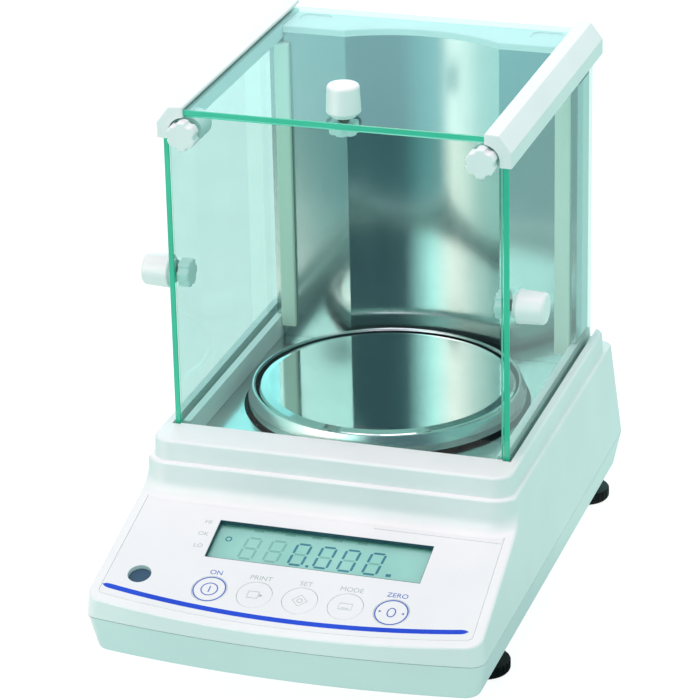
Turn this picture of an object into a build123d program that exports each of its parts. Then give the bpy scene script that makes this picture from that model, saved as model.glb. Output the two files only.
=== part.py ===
"""Top-loading precision balance with a sliding glass draft shield.

Each piece of the balance is one STEP file in parts/. Millimetres, +Z up, +Y to the
rear, Z = 0 the surface that the balance stands on. While the pieces are drawn, Y = 0
is the front edge of the closed side doors. They are written out with the origin at
the middle of the footprint.
"""
import os
from math import cos, pi, radians, sin, tan

from build123d import *

# ---- driving dimensions, mm ----

# case
CASE_HALF_WIDTH = 87.0      # at the joint between the two case halves
CASE_FRONT = -93.0          # foremost point of the bowed front
CASE_REAR = 160.0
FOOTPRINT_CENTRE_Y = (CASE_FRONT + CASE_REAR) / 2
CASE_BOW_RADIUS = 530.0     # plan radius of the front
CASE_CORNER = 7.0
CASE_BOTTOM = 14.0
CASE_JOINT = 31.0
BOTTOM_INSETS = (3.4, 4.0, 2.5)     # side, front and rear taper below the joint
DECK_INSETS = (5.0, 4.0, 2.0)       # the same, above it
JOINT_REVEAL = 0.4
DECK_Z = 74.5
DECK_FRONT = -21.5          # face of the step behind the control panel
DECK_HALF_WIDTH = 84.2
DECK_CORNER = 12.6
STEP_COVE = 7.0             # hollow curve between the panel and the step
RIM_R, LIP_R = 1.4, 1.2     # rounding of the panel's rim and of the deck's edge
WALL = 2.3
SCREW_POSTS = [(side * 73.0, y) for side in (-1, 1) for y in (-58.0, 56.0, 118.0)]
CELL_PADS = [(x, y) for x in (-20.0, 20.0) for y in (28.0, 117.0)]
BOARD_PADS = [(x, y) for x in (34.0, 60.0) for y in (28.0, 132.0)]
CELL_PAD_TOP, BOARD_PAD_TOP = 19.9, 20.9
VENTS, VENT_PITCH, VENT_W = 7, 6.0, 2.5

# control panel, in its own axes: x to the right, s up the slope, depth below its face
TILT = radians(18.0)
PANEL_Y = -91.0
PANEL_Z = 38.0
OVERLAY_TOP_HALF, OVERLAY_LOW_HALF = 79.3, 81.6
OVERLAY_TOP_S = 72.5
OVERLAY_FRONT_S = 2.6
OVERLAY_T = 0.45
WINDOW_X, WINDOW_S = 4.2, 48.9
WINDOW_W, WINDOW_H = 94.8, 22.5
KEY_NAMES = ["power_key", "print_key", "set_key", "function_key", "zero_key"]
KEY_FIRST_X, KEY_PITCH, KEY_S = -34.9, 19.85, 19.3
KEY_R = 7.5
BOARD_DEPTH = 8.0
BOARD_POSTS = [(x, s) for x in (-55.0, 64.0) for s in (10.0, 64.0)]
LEVEL_X, LEVEL_S, LEVEL_R = -67.3, 22.9, 5.1
INLET_X, PORT_X = 24.0, 50.0

# levelling feet
FOOT_X = 72.5
FOOT_YS = {"front": -31.0, "rear": 144.0}
FOOT_R = 11.0
FOOT_T = 5.5
FOOT_NOTCHES = 24
STUD_R = 3.0
THREAD_GAP = 0.08

# shield base frame and chamber
FRAME_HALF_WIDTH = 80.2
FRAME_FRONT, FRAME_REAR = -19.2, 150.5
FRAME_TOP = 84.0
FRAME_CORNER = 8.0
FRAME_SCREWS = [(side * 77.9, y) for side in (-1, 1) for y in (8.0, 132.0)]
CHAMBER_HALF_WIDTH = 69.0
CHAMBER_REAR = 140.3
FLOOR_Z = 73.6
FLOOR_T = 0.8

# glass
GLASS_T = 2.5
DOOR_IN = 72.6              # inner face of the side doors
DOOR_BOTTOM, DOOR_TOP = 79.2, 220.0
DOOR_REAR = 141.0
GROOVE_IN, GROOVE_OUT = 72.3, 75.4
GROOVE_FLOOR = 79.0
FRONT_GLASS_Y = -0.6        # front face of the fixed front glass
TOP_GLASS_Z = 225.7         # underside of the top door
TOP_GLASS_HALF_WIDTH = 68.0
TOP_GLASS_FRONT, TOP_GLASS_REAR = -1.2, 147.0

# handles on the doors
HANDLE_Y = 8.4
HANDLE_Z = 151.1
TOP_HANDLE_X = 2.0
COLLAR_R, COLLAR_L = 5.2, 1.6
GRIP_R, GRIP_TIP_R, GRIP_L = 7.4, 6.8, 12.4
NUT_R, NUT_T = 6.2, 5.0
SCREW_R = 2.0

# rails, clamp knobs
RAIL_IN, RAIL_OUT = 65.2, 76.9
RAIL_CHAMFER_X, RAIL_CHAMFER_Z = 71.5, 222.4
RAIL_TOP, RAIL_BOTTOM = 229.9, 215.6
RAIL_FRONT, RAIL_REAR = -2.8, 152.0
RAIL_PINS = [(67.4, 133.0), (67.4, 144.0)]
CLAMP_X, CLAMP_Z = 64.7, 218.0
CLAMP_R, CLAMP_T = 6.4, 5.6

# rear column
COLUMN_FRONT, COLUMN_REAR = 127.4, 148.2
COLUMN_HALF_WIDTH = 71.7
SHEET_T = 0.8
RECESS_HALF_WIDTH, RECESS_DEPTH = 35.7, 9.5
CAP_TOP, CAP_T = 225.2, 3.2
SEAL_IN, SEAL_OUT, SEAL_T = 61.9, 68.8, 2.8

# weighing pan and cell
PAN_Y = 68.5
PAN_TOP = 83.2
PAN_FLAT_R, PAN_R = 53.3, 57.6
RING_TOP_R, RING_FOOT_R = 59.2, 61.4
RING_FOOT_Z = 75.4
WELL_R = 64.0
WELL_FLOOR = 59.0
LEVER_TOP = 53.6
SPINDLE_R = 4.0

PANEL = Plane(origin=(0, PANEL_Y, PANEL_Z), x_dir=(1, 0, 0), z_dir=(0, -sin(TILT), cos(TILT)))


# ---- helpers ----

def box(x0, x1, y0, y1, z0, z1):
    """Box between two corners."""
    centre = Pos((x0 + x1) / 2, (y0 + y1) / 2, (z0 + z1) / 2)
    return centre * Box(x1 - x0, y1 - y0, z1 - z0)


def rod(x, y, z0, z1, radius):
    """Upright cylinder from z0 to z1."""
    return Pos(x, y, (z0 + z1) / 2) * Cylinder(radius, z1 - z0)


def rod_y(x, z, y0, y1, radius):
    """Cylinder along Y from y0 to y1."""
    return Pos(x, (y0 + y1) / 2, z) * Rot(90, 0, 0) * Cylinder(radius, y1 - y0)


def rod_x(y, z, x0, x1, radius):
    """Cylinder along X from x0 to x1."""
    return Pos((x0 + x1) / 2, y, z) * Rot(0, 90, 0) * Cylinder(radius, x1 - x0)


def on_panel(shape):
    """Move a shape from the panel's own axes to the balance's."""
    return PANEL.location * shape


def mirrored(shape):
    """The left-hand copy of a right-hand piece."""
    return mirror(shape, about=Plane.YZ)


def spun(points, x=0.0, y=0.0):
    """Solid of revolution of a closed (radius, z) outline about an upright axis."""
    outline = Plane.XZ * make_face(Polyline(*points, close=True))
    return Pos(x, y, 0) * revolve(outline, Axis.Z)


def edges_at_z(shape, z):
    """Edges of a shape that lie at one height."""
    return shape.edges().filter_by_position(Axis.Z, z - 0.01, z + 0.01)


# ---- case ----

def case_outline(side_inset, front_inset, rear_inset, inset):
    """Plan of the case: straight sides, bowed front, rounded corners."""
    half = CASE_HALF_WIDTH - side_inset - inset
    front = CASE_FRONT + front_inset + inset
    rear = CASE_REAR - rear_inset - inset
    plan = Pos(0, (front + rear) / 2) * Rectangle(2 * half, rear - front)
    plan &= Pos(0, front + CASE_BOW_RADIUS) * Circle(CASE_BOW_RADIUS)
    return fillet(plan.vertices(), CASE_CORNER - inset)


def lower_body(inset, floor):
    """Tapered tub below the joint, pulled in by inset, from z = floor up."""
    joint = Pos(0, 0, CASE_JOINT) * case_outline(0, 0, 0, inset)
    bottom = Pos(0, 0, floor) * case_outline(*BOTTOM_INSETS, inset)
    return loft([bottom, joint])


def lower_case():
    """Tub with its foot bosses, screw posts, board and cell pads and rear ports."""
    outer = lower_body(0, CASE_BOTTOM)
    outer = fillet(edges_at_z(outer, CASE_BOTTOM), 2.0)
    tub = outer - lower_body(WALL, CASE_BOTTOM + WALL)
    reveal = box(-90, 90, -100, 165, CASE_JOINT - JOINT_REVEAL, CASE_JOINT)
    reveal -= extrude(Pos(0, 0, CASE_JOINT - 1) * case_outline(0, 0, 0, 0.9), 2)
    tub -= reveal
    floor = CASE_BOTTOM + WALL
    for x, y in SCREW_POSTS:
        tub += rod(x, y, CASE_BOTTOM + 1, CASE_JOINT, 4.2)
        tub -= rod(x, y, CASE_BOTTOM - 1, CASE_JOINT + 1, 1.8)
        tub -= rod(x, y, CASE_BOTTOM - 1, CASE_BOTTOM + 3.2, 3.3)
    for side in (-1, 1):
        for y in FOOT_YS.values():
            tub += rod(side * FOOT_X, y, CASE_BOTTOM + 1, 27.5, 7.5)
            tub -= rod(side * FOOT_X, y, CASE_BOTTOM - 1, 28, STUD_R + THREAD_GAP)
    for x, y in CELL_PADS:
        tub += rod(x, y, floor - 1, CELL_PAD_TOP, 4)
    for x, y in BOARD_PADS:
        tub += rod(x, y, floor - 1, BOARD_PAD_TOP, 3)
    tub -= box(INLET_X - 4.7, INLET_X + 4.7, 150, 165, 22.3, 29.7)
    tub -= box(PORT_X - 15.7, PORT_X + 15.7, 150, 165, 17.4, 30.0)
    for i in range(VENTS):
        x = -66 + VENT_PITCH * i
        tub -= box(x, x + VENT_W, 60, 100, CASE_BOTTOM - 1, floor + 1)
    return tub


def upper_body(inset):
    """Solid inside the upper case's surface, pulled in by inset."""
    low = Pos(0, 0, CASE_JOINT) * case_outline(0, 0, 0, inset)
    high = Pos(0, 0, DECK_Z - inset) * case_outline(*DECK_INSETS, inset)
    block = loft([low, high])
    # the slope runs on behind the step so that its hollow curve ends outside the block
    slope = on_panel(box(-130, 130, -60, 280, -240, -inset))
    deck_front = DECK_FRONT + inset
    deck = Pos(0, (deck_front + 220) / 2) * Rectangle(2 * (DECK_HALF_WIDTH - inset), 220 - deck_front)
    deck = fillet(deck.vertices().group_by(Axis.Y)[0], DECK_CORNER - inset)
    shape = slope + extrude(Pos(0, 0, -20) * deck, 220)
    seam = [edge for edge in shape.edges() if in_seam(edge, inset)]
    return block & fillet(seam, STEP_COVE + inset)


def in_seam(edge, inset):
    """True for an edge between the panel's plane and the step."""
    mid = PANEL.to_local_coords(edge.position_at(0.5))
    return abs(mid.Z + inset) < 0.01 and 40 < mid.Y < 279 and abs(mid.X) < 100


def on_panel_rim(edge):
    """True for the front and side edges of the panel's plane."""
    mid = PANEL.to_local_coords(edge.position_at(0.5))
    end = PANEL.to_local_coords(edge.position_at(0))
    return abs(mid.Z) < 0.05 and abs(end.Z) < 0.05 and (abs(mid.X) > 80.5 or mid.Y < 12)


def softened_upper_body():
    """Upper body with the panel's rim and the deck's lip rounded."""
    body = upper_body(0)
    body = fillet([edge for edge in body.edges() if on_panel_rim(edge)], RIM_R)
    return fillet(edges_at_z(body, DECK_Z), LIP_R)


def upper_case():
    """Upper shell: panel, step, deck with the chamber recess, inner posts."""
    shell = softened_upper_body() - upper_body(WALL)
    shell -= box(-90, 90, -100, 165, CASE_JOINT - 1, CASE_JOINT)
    # recess for the floor plate, seat for the pan well
    shell += box(-74, 74, -4.5, 145, FLOOR_Z - FLOOR_T - 2.5, DECK_Z - 1)
    shell -= box(-71.7, 71.7, -1.9, 142.4, FLOOR_Z - FLOOR_T, DECK_Z + 1)
    shell -= rod(0, PAN_Y, FLOOR_Z - FLOOR_T - 1.1, DECK_Z, 67.3)
    shell -= rod(0, PAN_Y, 60, DECK_Z, WELL_R + 0.6)
    # screw posts with a rib to the side wall
    for x, y in SCREW_POSTS:
        side = 1 if x > 0 else -1
        top = 44.0
        shell += rod(x, y, CASE_JOINT, top, 4.0)
        shell += box(*sorted((x, side * 83.5)), y - 1, y + 1, CASE_JOINT + 0.5, top)
        shell -= rod(x, y, CASE_JOINT - 1, top - 3, 1.4)
    for x, y in FRAME_SCREWS:
        shell -= rod(x, y, 66, DECK_Z + 1, 1.8)
        shell -= rod(x, y, 66, DECK_Z - WALL, 2.8)
    # openings and seats of the control panel
    shell -= on_panel(extrude(overlay_outline(0.2), -0.5))
    shell -= on_panel(window_box(0.0, -10, 5))
    shell -= on_panel(rod(LEVEL_X, LEVEL_S, -10, 5, LEVEL_R))
    for x in key_xs():
        shell -= on_panel(rod(x, KEY_S, -1.5, 5, KEY_R + 0.3))
        shell -= on_panel(rod(x, KEY_S, -10, 5, 2.3))
    for x, s in BOARD_POSTS:
        shell += on_panel(rod(x, s, -BOARD_DEPTH, -1.0, 2.6))
    return shell


# ---- control panel ----

def key_xs():
    """X of each key's middle."""
    return [KEY_FIRST_X + KEY_PITCH * i for i in range(len(KEY_NAMES))]


def overlay_outline(margin):
    """Outline of the printed overlay, grown by margin."""
    top = OVERLAY_TOP_S + margin
    low = OVERLAY_FRONT_S - margin
    wide = OVERLAY_LOW_HALF + margin
    narrow = OVERLAY_TOP_HALF + margin
    plan = make_face(Polyline((-wide, low), (wide, low), (narrow, top), (-narrow, top), close=True))
    bow = CASE_BOW_RADIUS * 0.9
    plan &= Pos(0, low + bow) * Circle(bow)
    return fillet(plan.vertices(), 3.0)


def window_box(grow, depth0, depth1):
    """Box over the display opening between two depths, in panel axes."""
    half_w = WINDOW_W / 2 + grow
    half_h = WINDOW_H / 2 + grow
    return box(WINDOW_X - half_w, WINDOW_X + half_w, WINDOW_S - half_h, WINDOW_S + half_h,
               depth0, depth1)


def keypad_overlay():
    """Thin printed sheet with the display, level and key openings."""
    sheet = extrude(Pos(0, 0, -0.5) * overlay_outline(0), OVERLAY_T)
    sheet -= window_box(0.0, -2, 2)
    sheet -= rod(LEVEL_X, LEVEL_S, -2, 2, LEVEL_R)
    for x in key_xs():
        sheet -= rod(x, KEY_S, -2, 2, KEY_R + 0.15)
    return on_panel(sheet)


def key(x):
    """One key: a round pad level with the overlay and its push stem."""
    pad = rod(x, KEY_S, -0.75, -0.05, KEY_R)
    pad = fillet(edges_at_z(pad, -0.05), 0.15)
    return on_panel(pad + rod(x, KEY_S, -6.3, -0.5, 1.9))


def display_window():
    """Clear plate glued behind the display opening."""
    return on_panel(window_box(1.8, -WALL - 0.85, -WALL - 0.05))


def lcd_module():
    """Liquid-crystal glass and its carrier, one block on the display board."""
    glass = window_box(1.0, -WALL - 2.0, -WALL - 0.95)
    carrier = window_box(2.6, -BOARD_DEPTH + 0.05, -WALL - 2.0)
    return on_panel(glass + carrier)


def display_board():
    """Circuit board behind the panel, screwed to the four short posts."""
    board = box(-58.8, 67.5, 6, 68, -BOARD_DEPTH - 1.6, -BOARD_DEPTH)
    board = fillet(board.edges().filter_by(Axis.Z), 2.0)
    return on_panel(board)


def key_switches():
    """Five low push switches on the display board."""
    switches = []
    for x in key_xs():
        body = box(x - 3, x + 3, KEY_S - 3, KEY_S + 3, -BOARD_DEPTH, -BOARD_DEPTH + 0.7)
        switches.append(on_panel(body + rod(x, KEY_S, -BOARD_DEPTH, -BOARD_DEPTH + 1.0, 1.5)))
    return Compound(children=switches)


def level_place():
    """Middle of the level's opening, in the balance's axes."""
    return PANEL.from_local_coords((LEVEL_X, LEVEL_S, 0))


def level_cup():
    """Black column on the tub's floor that holds the round level."""
    at = level_place()
    cup = rod(at.X, at.Y, CASE_BOTTOM + WALL, 39.5, 7.6)
    return cup - rod(at.X, at.Y, 31.0, 41, 6.2)


def level_vial():
    """Round level: a clear puck."""
    at = level_place()
    puck = rod(at.X, at.Y, 31.0, 37.0, 6.1)
    return fillet(edges_at_z(puck, 37.0), 0.6)


# ---- feet ----

def foot_wheel(x, y):
    """Knurled levelling wheel with a rounded sole."""
    wheel = rod(x, y, 0, FOOT_T, FOOT_R)
    wheel = fillet(edges_at_z(wheel, 0), 2.0)
    wheel = fillet(edges_at_z(wheel, FOOT_T), 0.8)
    for i in range(FOOT_NOTCHES):
        turn = 2 * pi * i / FOOT_NOTCHES
        px = x + (FOOT_R + 0.35) * cos(turn)
        py = y + (FOOT_R + 0.35) * sin(turn)
        wheel -= rod(px, py, -1, FOOT_T + 1, 0.85)
    wheel += rod(x, y, FOOT_T - 1, FOOT_T + 2.5, 5.5)
    return wheel - rod(x, y, 2.5, FOOT_T + 4, STUD_R)


def foot_stud(x, y):
    """Threaded steel stud of a levelling foot."""
    stud = rod(x, y, 2.5, 26.5, STUD_R)
    return chamfer(edges_at_z(stud, 26.5), 0.8)


# ---- shield base, floor and pan ----

def shield_frame():
    """Moulded frame on the deck, grooved for the side doors and front glass."""
    rear_mid = (FRAME_FRONT + FRAME_REAR) / 2
    depth = FRAME_REAR - FRAME_FRONT
    low = Pos(0, rear_mid) * Rectangle(2 * FRAME_HALF_WIDTH, depth)
    low = fillet(low.vertices(), FRAME_CORNER)
    frame = extrude(Pos(0, 0, DECK_Z) * low, FRAME_TOP - DECK_Z, taper=2)
    frame = fillet(edges_at_z(frame, FRAME_TOP), 1.4)
    frame += box(-71.3, 71.3, -1.5, 142.0, FLOOR_Z + 0.1, DECK_Z + 1)
    frame -= box(-CHAMBER_HALF_WIDTH, CHAMBER_HALF_WIDTH, 4.0, CHAMBER_REAR, 60, 90)
    # groove and low rear lip for the front glass
    glass_rear = FRONT_GLASS_Y + GLASS_T
    frame -= box(-GROOVE_IN, GROOVE_IN, FRONT_GLASS_Y - 0.1, glass_rear + 0.3, 75.8, 90)
    frame -= box(-CHAMBER_HALF_WIDTH, CHAMBER_HALF_WIDTH, glass_rear, 5.0, 79.0, 90)
    for side in (-1, 1):
        x0, x1 = sorted((side * GROOVE_IN, side * (GROOVE_OUT + 0.6)))
        frame -= box(x0, x1, -1.8, FRAME_REAR + 5, GROOVE_FLOOR, 90)
    for x, y in FRAME_SCREWS:
        frame -= rod(x, y, DECK_Z - 1, 81.0, 1.4)
    return frame


def case_screws():
    """Identical screws: case halves together, and the frame to the deck."""
    places = [(x, y, CASE_BOTTOM + 0.8) for x, y in SCREW_POSTS]
    places += [(x, y, DECK_Z - WALL - 2.45) for x, y in FRAME_SCREWS]
    return Compound(children=[pan_screw(x, y, z) for x, y, z in places])


def pan_screw(x, y, z):
    """Small screw standing head down, its head's underside at z."""
    head = fillet(edges_at_z(rod(x, y, z, z + 2.4, 2.5), z), 0.8)
    head -= box(x - 2, x + 2, y - 0.4, y + 0.4, z - 1, z + 1.0)
    return head + rod(x, y, z + 2, z + 10.5, 1.3)


def floor_plate():
    """Stainless floor of the chamber with the opening round the pan."""
    plate = box(-71.2, 71.2, -1.4, 141.9, FLOOR_Z - FLOOR_T, FLOOR_Z)
    return plate - rod(0, PAN_Y, 60, 80, WELL_R)


def pan_well():
    """Black cup under the pan, with three posts that carry the draft ring."""
    seat = FLOOR_Z - FLOOR_T
    cup = spun([(9.0, WELL_FLOOR), (WELL_R - 0.3, WELL_FLOOR), (WELL_R - 0.3, seat - 1.05),
                (67.0, seat - 1.05), (67.0, seat - 0.05), (WELL_R - 1.6, seat - 0.05),
                (WELL_R - 1.6, WELL_FLOOR + 1.5), (10.5, WELL_FLOOR + 1.5), (10.5, 66.0),
                (9.0, 66.0)], 0, PAN_Y)
    for i in range(3):
        turn = radians(90 + 120 * i)
        post = Pos(0, 0, (WELL_FLOOR + RING_FOOT_Z) / 2) * Box(2.4, 6, RING_FOOT_Z - WELL_FLOOR)
        place = Pos(61.2 * cos(turn), PAN_Y + 61.2 * sin(turn), 0)
        cup += place * Rot(0, 0, 90 + 120 * i) * post
    return cup


def draft_ring():
    """Loose stainless ring round the pan, beaded at the top."""
    return spun([(RING_FOOT_R, RING_FOOT_Z + 0.05), (RING_FOOT_R + 0.8, RING_FOOT_Z + 0.05),
                 (RING_FOOT_R + 0.7, 78.5), (RING_TOP_R + 1.3, 82.3), (RING_TOP_R + 0.9, 83.1),
                 (RING_TOP_R + 0.3, 83.3), (RING_TOP_R - 0.4, 83.0), (RING_TOP_R - 0.5, 82.4),
                 (RING_TOP_R + 0.3, 81.9), (RING_FOOT_R - 0.1, 78.3)], 0, PAN_Y)


def weighing_pan():
    """Flat stainless dish with a rolled rim."""
    under = PAN_TOP - 1.0
    dish = spun([(0, under), (PAN_FLAT_R - 0.6, under), (PAN_R - 1.6, under - 1.2),
                 (PAN_R - 1.0, under - 1.9), (PAN_R - 0.2, under - 1.9), (PAN_R, under - 1.3),
                 (PAN_R - 0.2, under - 0.5), (PAN_R - 1.2, PAN_TOP - 0.8),
                 (PAN_FLAT_R, PAN_TOP), (0, PAN_TOP)], 0, PAN_Y)
    return dish


def pan_support():
    """Four-armed cross under the pan, with a socket on the spindle."""
    top = PAN_TOP - 1.05
    cross = rod(0, PAN_Y, 71.0, top, 9.0)
    for angle in (45, 135):
        arm = Box(92, 9, 3.0)
        cross += Pos(0, PAN_Y, top - 3.0) * Rot(0, 0, angle) * arm
    for i in range(4):
        turn = radians(45 + 90 * i)
        cross += rod(41 * cos(turn), PAN_Y + 41 * sin(turn), top - 4.5, top, 6.0)
    return cross - rod(0, PAN_Y, 70, 79.0, SPINDLE_R + 0.05)


def pan_spindle():
    """Steel spindle between the lever and the pan support."""
    return chamfer(edges_at_z(rod(0, PAN_Y, LEVER_TOP, 78.9, SPINDLE_R), 78.9), 0.8)


# ---- weighing cell and electronics ----

def cell_frame():
    """Cast base of the weighing cell, with its fixed rear pillar."""
    base = box(-27, 27, 20, 125, 20, 28)
    base = fillet(base.edges().filter_by(Axis.Z), 4.0)
    pillar = box(-18, 18, 101, 121, 27, 53.85)
    stop = rod(0, PAN_Y, 27, 30.0, 6.0)
    return base + pillar + stop


def cell_lever():
    """Moving end block of the cell, which carries the spindle."""
    block = box(-12, 12, 56, 81, 31, LEVER_TOP)
    block = fillet(block.edges().filter_by(Axis.Z), 2.0)
    return block - rod_y(0, 43, 50, 90, 6.5)


def flexure_guides():
    """Two thin guide plates between the pillar and the lever."""
    upper = box(-17, 17, 75, 120.5, 53.9, 54.9)
    lower = box(-17, 17, 75, 100.9, 29.2, 30.2)
    window = box(-11, 11, 84, 97, 20, 60)
    return Compound(children=[upper - window, lower - window])


def tuning_fork():
    """Twin-tine vibrator between the lever and the pillar."""
    fork = box(-2.5, 2.5, 82, 86, 35, 51)
    fork += box(-2.5, 2.5, 97, 100.6, 35, 51)
    for z in (38.5, 45.5):
        fork += box(-1.5, 1.5, 85.5, 97.5, z, z + 2.5)
    return fork


def main_board():
    """Main circuit board beside and behind the cell."""
    board = box(30, 64.5, 22, 153.5, 21, 22.6) + box(16, 64.5, 128, 153.5, 21, 22.6)
    chips = [(36, 54, 44, 62, 2.0), (44, 54, 80, 92, 4.0), (50, 62, 100, 116, 8.0)]
    for x0, x1, y0, y1, tall in chips:
        board += box(x0, x1, y0, y1, 22.5, 22.6 + tall)
    return board


def power_inlet():
    """Barrel socket for the plug-in supply."""
    body = box(INLET_X - 4.4, INLET_X + 4.4, 147, 158.3, 22.65, 29.4)
    body -= rod_y(INLET_X, 26.0, 149, 160, 2.75)
    return body + rod_y(INLET_X, 26.0, 148, 157.5, 0.9)


def data_port():
    """Nine-way data connector with its two screw posts."""
    body = box(PORT_X - 14.5, PORT_X + 14.5, 149, 156.0, 22.65, 29.8)
    body += box(PORT_X - 15.5, PORT_X + 15.5, 153.8, 155.4, 17.6, 29.8)
    shell = box(PORT_X - 8.5, PORT_X + 8.5, 155.3, 159.5, 19.6, 27.8)
    shell = fillet(shell.edges().filter_by(Axis.Y), 2.0)
    body += shell - box(PORT_X - 7.5, PORT_X + 7.5, 156.5, 160, 20.6, 26.8)
    for x in (PORT_X - 12.4, PORT_X + 12.4):
        body += rod_y(x, 23.7, 155.3, 159.8, 2.2)
    return body


# ---- glass and handles ----

def glass_plate(x0, x1, y0, y1, z0, z1, hole=None):
    """Glass plate with lightly eased edges and an optional screw hole."""
    plate = chamfer(box(x0, x1, y0, y1, z0, z1).edges(), 0.3)
    return plate - hole if hole else plate


def side_door():
    """Right-hand sliding door."""
    hole = rod_x(HANDLE_Y, HANDLE_Z, 70, 80, SCREW_R + 0.4)
    return glass_plate(DOOR_IN, DOOR_IN + GLASS_T, 0, DOOR_REAR, DOOR_BOTTOM, DOOR_TOP, hole)


def top_door():
    """Top sliding door."""
    hole = rod(TOP_HANDLE_X, HANDLE_Y, 220, 235, SCREW_R + 0.4)
    return glass_plate(-TOP_GLASS_HALF_WIDTH, TOP_GLASS_HALF_WIDTH, TOP_GLASS_FRONT,
                       TOP_GLASS_REAR, TOP_GLASS_Z, TOP_GLASS_Z + GLASS_T, hole)


def front_glass():
    """Fixed front glass with a hole at each clamp knob."""
    plate = glass_plate(-72.0, 72.0, FRONT_GLASS_Y, FRONT_GLASS_Y + GLASS_T, 75.9, 225.3)
    for side in (-1, 1):
        plate -= rod_y(side * CLAMP_X, CLAMP_Z, -5, 5, SCREW_R + 0.4)
    return plate


def lobed_disc(radius, thickness):
    """Six-lobed knob body standing on z = 0."""
    plan = Circle(radius)
    for i in range(6):
        turn = radians(60 * i)
        plan -= Pos((radius + 1.0) * cos(turn), (radius + 1.0) * sin(turn)) * Circle(1.9)
    plan = fillet(plan.vertices(), 0.7)
    disc = extrude(plan, thickness)
    return fillet(edges_at_z(disc, thickness), 0.7)


def handle_grip():
    """Outer part of a door handle: collar, then a tapered round grip. Axis +Z from the glass."""
    grip = Pos(0, 0, COLLAR_L + GRIP_L / 2) * Cone(GRIP_R, GRIP_TIP_R, GRIP_L)
    top = COLLAR_L + GRIP_L
    grip = fillet(edges_at_z(grip, top), 1.6)
    grip = fillet(edges_at_z(grip, COLLAR_L), 0.8)
    grip += rod(0, 0, 0.05, COLLAR_L + 0.5, COLLAR_R)
    return grip - rod(0, 0, -1, 10.0, SCREW_R)


def handle_nut():
    """Inner lobed nut of a door handle. Axis -Z from the glass."""
    nut = Rot(180, 0, 0) * lobed_disc(NUT_R, NUT_T - 0.05)
    nut = Pos(0, 0, -0.05) * nut
    return nut - rod(0, 0, -3.5, 1, SCREW_R)


def handle_screw():
    """Screw that joins a handle's two parts through the glass."""
    return rod(0, 0, -GLASS_T - 3.4, 9.9, SCREW_R)


def place_right(shape, nut=False):
    """Turn a handle piece from +Z to the right door's outer face."""
    face = DOOR_IN if nut else DOOR_IN + GLASS_T
    return Pos(face, HANDLE_Y, HANDLE_Z) * Rot(0, 90, 0) * shape


def place_top(shape, nut=False):
    """Move a handle piece to the top door."""
    face = TOP_GLASS_Z if nut else TOP_GLASS_Z + GLASS_T
    return Pos(TOP_HANDLE_X, HANDLE_Y, face) * shape


# ---- rails, clamps and rear column ----

def rail():
    """Right-hand top rail, its clamp boss under the front end."""
    section = [(RAIL_IN, RAIL_TOP), (RAIL_CHAMFER_X, RAIL_TOP - 0.4), (RAIL_OUT, RAIL_CHAMFER_Z),
               (RAIL_OUT, RAIL_BOTTOM), (71.8, RAIL_BOTTOM), (71.8, 217.5), (67.0, 217.5),
               (RAIL_IN, 219.3)]
    face = Plane.XZ * make_face(Polyline(*section, close=True))
    bar = Pos(0, RAIL_FRONT, 0) * extrude(face, -(RAIL_REAR - RAIL_FRONT))
    long_edges = [e for e in bar.edges().filter_by(Axis.Y) if e.position_at(0.5).Z > 221]
    bar = fillet(long_edges, 0.9)
    ends = [e for e in bar.edges().filter_by(Axis.Y, reverse=True) if e.position_at(0.5).X > 66]
    bar = fillet([e for e in ends if e.position_at(0.5).Z > 218], 0.6)
    bar -= box(GROOVE_IN, GROOVE_OUT, -0.2, 160, 200, 220.5)
    bar -= box(60, TOP_GLASS_HALF_WIDTH + 0.4, TOP_GLASS_FRONT - 0.2, 160,
               TOP_GLASS_Z - 0.2, TOP_GLASS_Z + GLASS_T + 0.2)
    glass_rear = FRONT_GLASS_Y + GLASS_T
    bar -= box(60, GROOVE_IN, FRONT_GLASS_Y - 0.1, glass_rear + 0.2, 200, TOP_GLASS_Z - 0.2)
    bar -= rod_y(CLAMP_X, CLAMP_Z, -5, FRONT_GLASS_Y, CLAMP_R + 0.8)
    bar += rod_y(CLAMP_X, CLAMP_Z, glass_rear + 0.2, 14.5, CLAMP_R - 0.2)
    bar -= rod_y(CLAMP_X, CLAMP_Z, 0, 12.0, SCREW_R + THREAD_GAP)
    for x, y in RAIL_PINS:
        bar -= rod(x, y, 200, 221.5, 1.4)
    return bar


def clamp_knob():
    """Right-hand lobed knob that holds the front glass, with its stud."""
    knob = lobed_disc(CLAMP_R, CLAMP_T)
    knob = Pos(CLAMP_X, -1.6, CLAMP_Z) * Rot(90, 0, 0) * knob
    knob += rod_y(CLAMP_X, CLAMP_Z, -2.0, FRONT_GLASS_Y - 0.05, 4.2)
    return knob + rod_y(CLAMP_X, CLAMP_Z, -2.0, 11.0, SCREW_R)


def recess_arc(y_front):
    """Arc of the recess, from its left edge to its right edge."""
    return ThreePointArc((-RECESS_HALF_WIDTH, y_front), (0, y_front + RECESS_DEPTH),
                         (RECESS_HALF_WIDTH, y_front))


def column_plan(half_width, front, rear):
    """Plan area behind the column's front face."""
    arc = recess_arc(front)
    left = Polyline((-RECESS_HALF_WIDTH, front), (-half_width, front), (-half_width, rear),
                    (half_width, rear), (half_width, front), (RECESS_HALF_WIDTH, front))
    return make_face([arc, left])


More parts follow.
